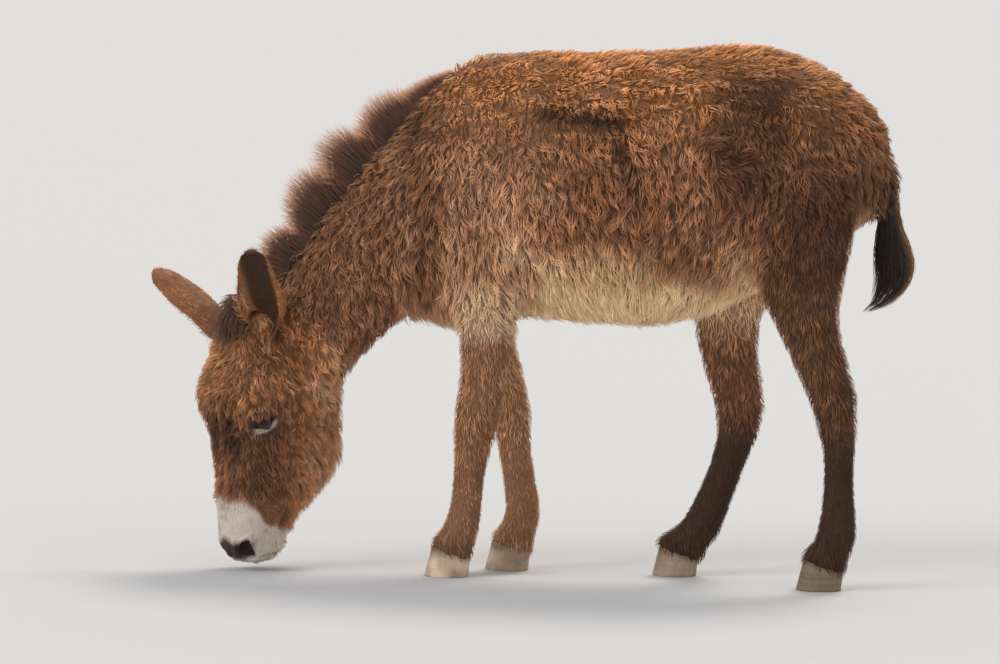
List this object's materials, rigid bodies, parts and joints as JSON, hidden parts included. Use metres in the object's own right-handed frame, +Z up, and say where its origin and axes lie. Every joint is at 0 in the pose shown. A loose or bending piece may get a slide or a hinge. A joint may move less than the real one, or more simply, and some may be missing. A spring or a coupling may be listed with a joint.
{
  "type": "donkey",
  "caption": "Life-size young donkey standing with its head down to graze, in a woolly coat with an upright mane.",
  "frame": {"origin": "on the floor, at the middle of the donkey's length and width", "axes": "+Z up, +X towards the tail, -X ahead of the head, -Y to the donkey's own left side"},
  "size_m": [1.6644, 0.4474, 1.1459],
  "materials": {
    "coat": "long woolly reddish-brown hair, lighter at the tips, cream under the belly",
    "dark_coat": "short close dark brown leg hair",
    "pale_coat": "short grey-white muzzle hair over dark skin",
    "mane_hair": "coarse dark brown hair, lighter at the tips of the mane",
    "hoof_horn": "matt grey-brown horn with fine growth rings",
    "eye": "wet dark brown eye"
  },
  "bodies": {
    "root": {"head": "coat", "lower_jaw": "coat", "muzzle": "pale_coat", "forelock": "mane_hair", "eye_left": "eye", "eye_right": "eye", "ear_left": "coat", "ear_right": "coat", "neck": "coat", "mane": "mane_hair", "shoulders": "coat", "barrel": "coat", "hindquarters": "coat", "forearm_left": "coat", "forearm_right": "coat", "fore_cannon_left": "dark_coat", "fore_cannon_right": "dark_coat", "fore_hoof_left": "hoof_horn", "fore_hoof_right": "hoof_horn", "thigh_left": "coat", "thigh_right": "coat", "hind_cannon_left": "dark_coat", "hind_cannon_right": "dark_coat", "hind_hoof_left": "hoof_horn", "hind_hoof_right": "hoof_horn", "tail_dock": "coat", "tail_switch": "mane_hair"}
  },
  "joints": []
}
